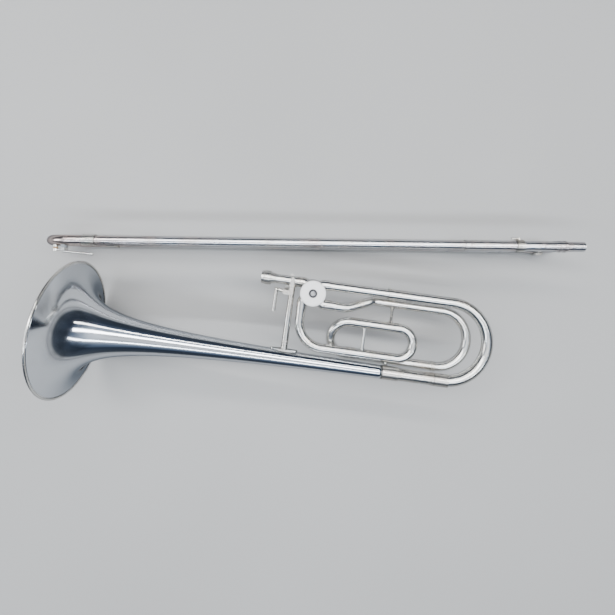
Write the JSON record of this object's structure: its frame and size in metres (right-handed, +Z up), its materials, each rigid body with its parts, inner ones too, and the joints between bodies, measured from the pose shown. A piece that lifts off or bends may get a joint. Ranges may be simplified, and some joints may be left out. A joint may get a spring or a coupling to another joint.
{
  "type": "tenor-bass trombone with rotary valve, taken apart",
  "caption": "Silver-plated slide trombone taken apart: bell section with rotary valve, thumb lever and wrapped extra tubing, and a hand slide with water key and slide lock.",
  "frame": {"origin": "centre of the bell receiver's mouth, where the hand slide's tenon seats, on the neck axis", "axes": "+X along the neck from the receiver to the main tuning slide; +Y from the bell axis towards the neck; +Z up out of the bell section's plane, through the valve cap"},
  "size_m": [0.8931, 0.3636, 0.2206],
  "materials": {
    "silver_plate": "bright silver plate over brass, with hairline wear",
    "silver_bell": "mirror-polished silver plate over brass",
    "satin_cap": "satin-brushed silver plate",
    "nickel_ferrule": "polished nickel silver",
    "chrome_stocking": "hard chrome",
    "steel_hardware": "plain steel",
    "black_rubber": "matt rubber",
    "cork": "pressed cork"
  },
  "bodies": {
    "bell_section": {"bell": "silver_bell", "bell_rim_wire": "silver_plate", "bell_tail_ferrule": "nickel_ferrule", "lower_slide_receiver": "nickel_ferrule", "bell_receiver": "silver_plate", "neck_tube": "silver_plate", "valve_casing": "silver_plate", "valve_bearing_plate": "silver_plate", "valve_cap": "satin_cap", "cap_centre": "nickel_ferrule", "cork_plate": "silver_plate", "stop_corks": "black_rubber", "lever_saddle": "silver_plate", "saddle_screw": "steel_hardware", "lever_pivot_screw": "steel_hardware", "lever_spring": "steel_hardware", "hand_brace": "silver_plate", "brace_flanges": "silver_plate", "main_upper_leg": "silver_plate", "f_upper_tube": "silver_plate", "f_slide_receivers": "silver_plate", "f_left_bend": "silver_plate", "f_small_loop": "silver_plate", "f_return_tube": "silver_plate", "wrap_ferrules": "nickel_ferrule", "wrap_braces": "silver_plate"},
    "rotor": {"valve_rotor": "silver_plate", "stop_arm": "silver_plate", "stop_arm_screw": "steel_hardware"},
    "lever": {"thumb_lever": "silver_plate", "thumb_paddle": "silver_plate"},
    "link": {"link_rod": "silver_plate"},
    "main_tuning_slide": {"main_upper_sleeve": "silver_plate", "main_lower_leg": "silver_plate", "main_crook": "silver_plate", "main_slide_ferrules": "nickel_ferrule"},
    "f_tuning_slide": {"f_crook": "silver_plate", "f_slide_legs": "silver_plate"},
    "inner_slide": {"inner_slide_tubes": "silver_plate", "stockings": "chrome_stocking", "cork_barrels": "silver_plate", "inner_brace": "silver_plate", "mouthpiece_receiver": "silver_plate", "slide_tenon": "silver_plate"},
    "slide_lock": {"slide_lock_ring": "nickel_ferrule"},
    "slide_nut_body": {"slide_nut": "nickel_ferrule"},
    "outer_slide": {"outer_slide_tubes": "silver_plate", "grip_sleeves": "silver_plate", "outer_brace": "silver_plate", "bow_ferrules": "nickel_ferrule", "slide_bow": "silver_plate", "bumper_holder": "silver_plate", "bow_bumper": "black_rubber", "water_key_nipple": "silver_plate", "water_key_saddle": "silver_plate", "water_key_screw": "steel_hardware"},
    "key": {"water_key": "silver_plate", "water_key_cork": "cork"}
  },
  "joints": [
    {"name": "lever_press", "type": "hinge", "parent": "bell_section", "child": "lever", "pos_m": [0.04, -0.018, 0], "axis": [0, 0, 1], "range_deg": [0, 30], "stiffness_Nm_per_rad": 0.05, "springref_deg": -34.38},
    {"name": "rotor_turn", "type": "hinge", "parent": "bell_section", "child": "rotor", "pos_m": [0.084, -0.014, 0], "axis": [0, 0, 1], "range_deg": [0, 90]},
    {"name": "link_swing", "type": "hinge", "parent": "lever", "child": "link", "pos_m": [0.0464, 0.0058, -0.034], "axis": [0, 0, 1], "range_deg": [-30, 0]},
    {"name": "main_slide_pull", "type": "slide", "parent": "bell_section", "child": "main_tuning_slide", "axis": [1, 0, 0], "range_m": [0, 0.06]},
    {"name": "f_slide_pull", "type": "slide", "parent": "bell_section", "child": "f_tuning_slide", "axis": [1, 0, 0], "range_m": [0, 0.06]},
    {"name": "slide_section_lift", "type": "slide", "parent": "bell_section", "child": "inner_slide", "axis": [0, 0, 1], "range_m": [0, 0.3]},
    {"name": "hand_slide_travel", "type": "slide", "parent": "inner_slide", "child": "outer_slide", "axis": [-0.9923, -0.1236, 0], "range_m": [0, 0.6]},
    {"name": "slide_lock_turn", "type": "hinge", "parent": "inner_slide", "child": "slide_lock", "pos_m": [0.40662, 0.10595, -0.012], "axis": [0.9923, 0.1236, 0], "range_deg": [0, 25]},
    {"name": "slide_nut_turn", "type": "hinge", "parent": "inner_slide", "child": "slide_nut_body", "pos_m": [0.48084, 0.1152, -0.098], "axis": [0.9923, 0.1236, 0], "continuous": true},
    {"name": "water_key_press", "type": "hinge", "parent": "outer_slide", "child": "key", "pos_m": [-0.32689, -0.00022, -0.014], "axis": [0, 0, 1], "range_deg": [0, 8], "stiffness_Nm_per_rad": 0.02, "springref_deg": -17.19}
  ],
  "couplings": [
    {"joint": "rotor_turn", "follows": "lever_press", "ratio": 3},
    {"joint": "link_swing", "follows": "lever_press", "ratio": -1}
  ]
}
